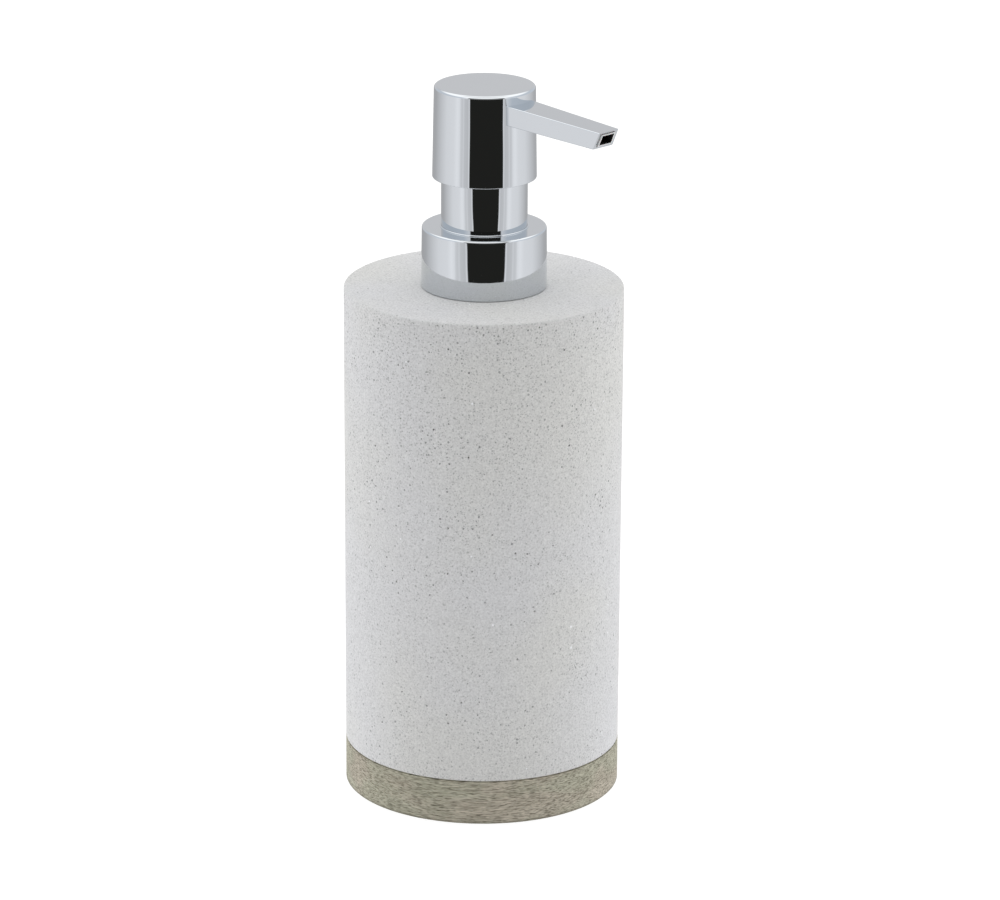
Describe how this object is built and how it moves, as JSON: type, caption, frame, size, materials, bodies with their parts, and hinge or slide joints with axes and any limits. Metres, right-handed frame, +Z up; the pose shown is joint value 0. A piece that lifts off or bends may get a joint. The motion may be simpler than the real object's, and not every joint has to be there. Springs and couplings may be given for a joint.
{
  "type": "soap pump dispenser",
  "caption": "Round cast stone bottle on a turned wooden base, with a screwed-on chromed lotion pump, telescoping press head and tapering side spout.",
  "frame": {"origin": "centre of the underside of the foot pad, on the face that the dispenser rests on", "axes": "+Z up along the bottle's axis, +X along the spout at rest"},
  "size_m": [0.0801, 0.0724, 0.1891],
  "materials": {
    "stone": "matt cast stone with fine dark specks",
    "wood": "grey washed, open grain, matt",
    "pad": "dull foam",
    "white_plastic": "moulded",
    "natural_plastic": "moulded, milky",
    "tube_plastic": "extruded, milky",
    "liner_plastic": "moulded, pale",
    "seal": "soft moulded",
    "chrome": "bright plated",
    "spring_steel": "drawn wire",
    "ball_steel": "ground"
  },
  "bodies": {
    "bottle": {"body_shell": "stone", "bottom_plug": "stone", "wooden_base": "wood", "foot_pad": "pad", "neck_insert": "white_plastic"},
    "pump": {"pump_barrel": "natural_plastic", "stem_guide": "white_plastic", "neck_sleeve": "chrome", "neck_gasket": "seal", "ball_cage": "natural_plastic", "dip_tube": "tube_plastic", "return_spring": "spring_steel"},
    "collar": {"collar_cover": "chrome", "threaded_closure": "white_plastic"},
    "plunger": {"piston": "seal"},
    "head": {"head_cap": "chrome", "head_core": "white_plastic", "spout_shell": "chrome", "nozzle_liner": "liner_plastic", "pump_stem": "natural_plastic", "stem_tip": "natural_plastic"},
    "lower_valve": {"inlet_ball": "ball_steel"},
    "upper_valve": {"outlet_ball": "ball_steel"}
  },
  "joints": [
    {"name": "pump_rise", "type": "slide", "parent": "bottle", "child": "pump", "axis": [0, 0, 1], "range_m": [0, 0.00424]},
    {"name": "collar_turn", "type": "hinge", "parent": "pump", "child": "collar", "pos_m": [0, 0, 0.144], "axis": [0, 0, 1], "range_deg": [0, 360]},
    {"name": "head_press", "type": "slide", "parent": "pump", "child": "plunger", "axis": [0, 0, -1], "range_m": [0, 0.012], "stiffness_N_per_m": 600, "springref_m": -0.012, "deforming": ["return_spring"]},
    {"name": "head_swivel", "type": "hinge", "parent": "plunger", "child": "head", "pos_m": [0, 0, 0.177], "axis": [0, 0, 1], "continuous": true},
    {"name": "inlet_ball_lift", "type": "slide", "parent": "pump", "child": "lower_valve", "axis": [0, 0, 1], "range_m": [0, 0.0015]},
    {"name": "outlet_ball_lift", "type": "slide", "parent": "head", "child": "upper_valve", "axis": [0, 0, 1], "range_m": [0, 0.0015]}
  ],
  "couplings": [
    {"joint": "pump_rise", "follows": "collar_turn", "m_per_rad": 0.00067322}
  ]
}
